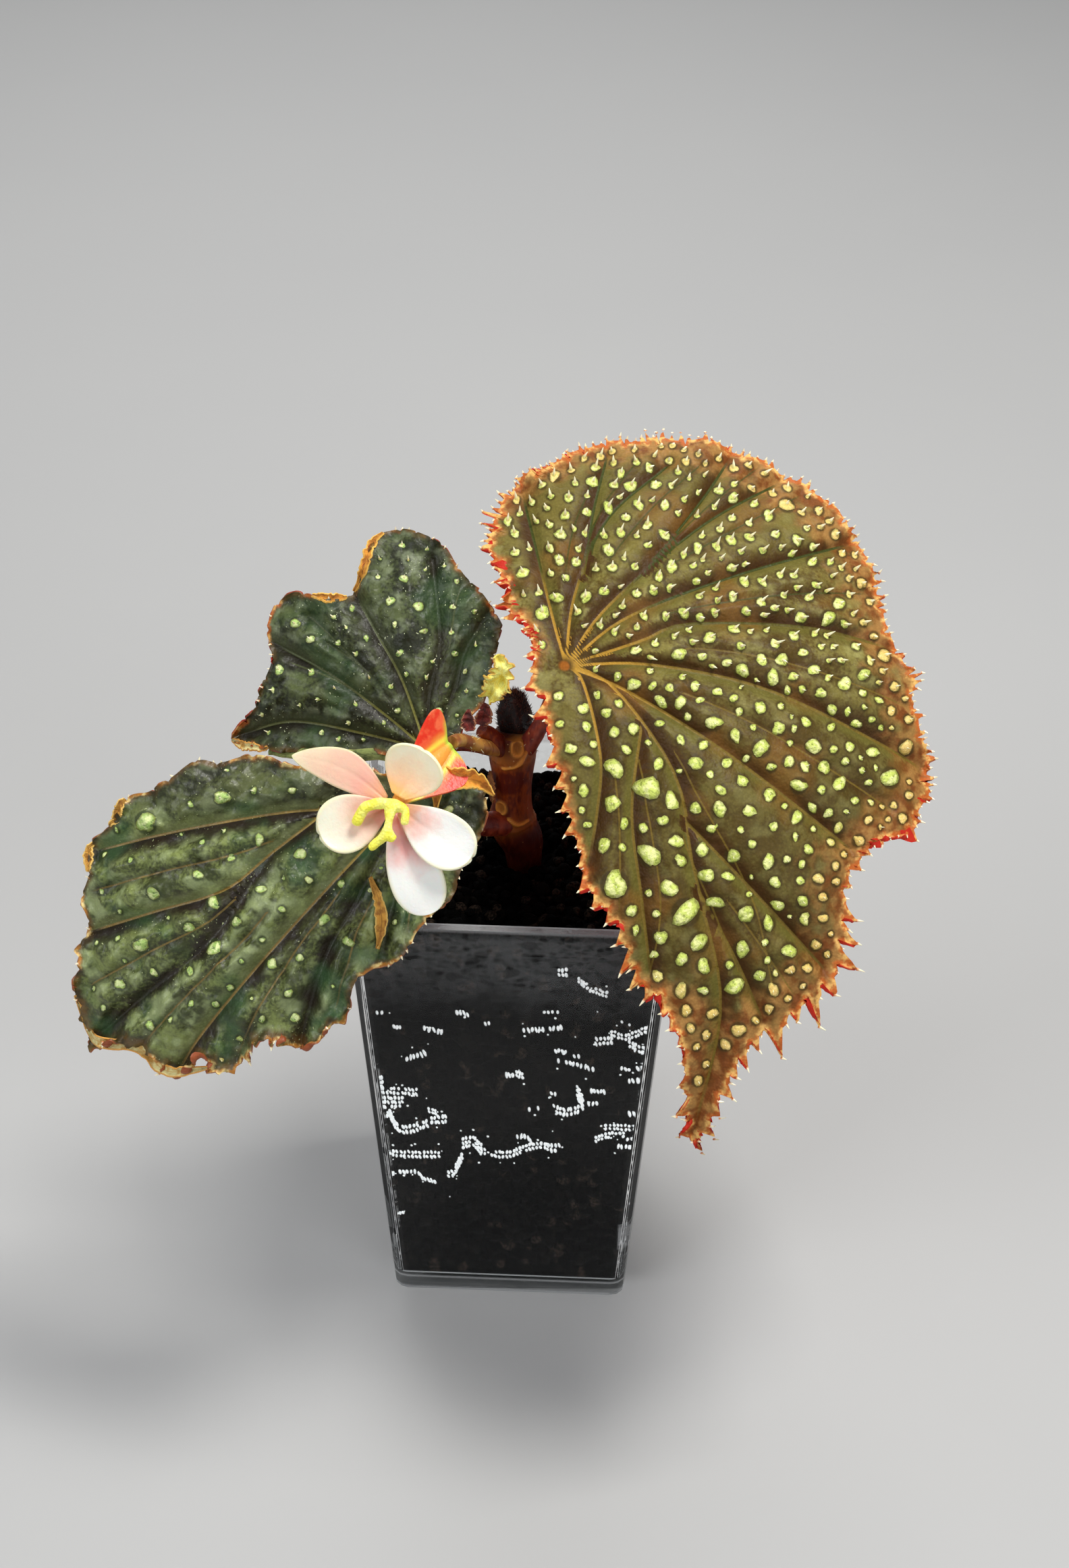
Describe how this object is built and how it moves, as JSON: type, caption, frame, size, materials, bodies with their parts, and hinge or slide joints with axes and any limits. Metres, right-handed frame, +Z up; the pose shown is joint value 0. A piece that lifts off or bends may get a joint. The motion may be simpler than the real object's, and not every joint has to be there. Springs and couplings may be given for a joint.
{
  "type": "potted begonia",
  "caption": "Small spotted-leaf begonia on a jointed stem, in bloom, in a clear square tapered pot of dark granular soil; stands on its foot.",
  "frame": {"origin": "centre of the pot's foot, on the surface that it stands on", "axes": "+Z up; -Y towards the side that the flower and the leaves face; X across"},
  "size_m": [0.1567, 0.0999, 0.1673],
  "materials": {
    "clear_plastic": "clear, moulded, glossy",
    "soil": "matte dark granules",
    "rhizome": "satin orange-brown stem",
    "growing_tip": "matte, hairy, near black",
    "leaf_bronze": "satin olive bronze with pale spots and a red-orange margin",
    "leaf_dark_green": "satin dark green with pale spots",
    "petiole": "satin red-brown stalk",
    "tepal": "soft satin, pink at the base and cream at the tip",
    "styles": "soft satin yellow",
    "ovary": "satin red wings on an orange body",
    "peduncle": "satin orange-brown stalk",
    "stipule_red": "dry, matte, dark red",
    "stipule_withered": "dry, matte, yellow",
    "bract_tan": "dry, matte, tan"
  },
  "bodies": {
    "root": {"pot": "clear_plastic", "soil": "soil", "rhizome": "rhizome", "growing_tip": "growing_tip", "leaf_right": "leaf_bronze", "leaf_upper_left": "leaf_dark_green", "leaf_lower_left": "leaf_dark_green", "petiole_right": "petiole", "petiole_upper_left": "petiole", "petiole_lower_left": "petiole", "tepal_1": "tepal", "tepal_2": "tepal", "tepal_3": "tepal", "tepal_4": "tepal", "tepal_5": "tepal", "styles": "styles", "ovary": "ovary", "peduncle": "peduncle", "stipule_red": "stipule_red", "stipule_withered": "stipule_withered", "stipule_stem": "bract_tan", "bract_peduncle": "stipule_red", "bract_dry": "bract_tan"}
  },
  "joints": []
}
